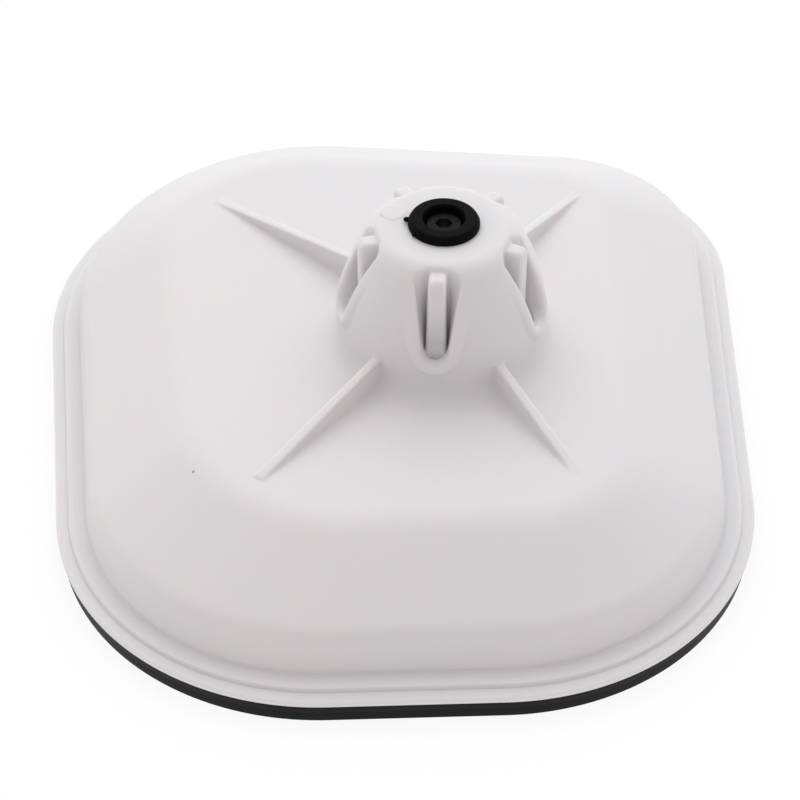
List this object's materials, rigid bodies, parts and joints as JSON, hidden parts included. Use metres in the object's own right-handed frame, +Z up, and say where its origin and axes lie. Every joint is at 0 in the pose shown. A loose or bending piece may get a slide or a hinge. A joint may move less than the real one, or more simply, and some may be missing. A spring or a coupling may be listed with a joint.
{
  "type": "air filter housing cover",
  "caption": "White moulded cover that closes an air filter housing, with a rubber rim seal and a captive centre bolt in a fluted tower.",
  "frame": {"origin": "middle of the bounding box, on the plane the rim seal rests on", "axes": "+X to the cover's right, +Y to its back, along the long way of the rim, +Z up along the bolt's axis, out of the tower's top"},
  "size_m": [0.2149, 0.2432, 0.0767],
  "materials": {
    "white_moulding": "satin injection moulding",
    "seal_rubber": "smooth moulded",
    "grommet_rubber": "smooth moulded",
    "retainer_rubber": "smooth moulded",
    "plated_steel": "zinc plated",
    "black_steel": "black oxide"
  },
  "bodies": {
    "cover": {"cover_shell": "white_moulding", "rim_seal": "seal_rubber", "bolt_grommet": "grommet_rubber", "grommet_sleeve": "plated_steel"},
    "washer": {"bolt_washer": "plated_steel"},
    "bolt": {"retaining_bolt": "black_steel", "bolt_retainer": "retainer_rubber"}
  },
  "joints": [
    {"name": "bolt_lift", "type": "slide", "parent": "cover", "child": "washer", "axis": [0, 0, 1], "range_m": [0, 0.015]},
    {"name": "bolt_turn", "type": "hinge", "parent": "washer", "child": "bolt", "pos_m": [0.0144, -0.0043, 0.0723], "axis": [0, 0, 1], "continuous": true}
  ]
}
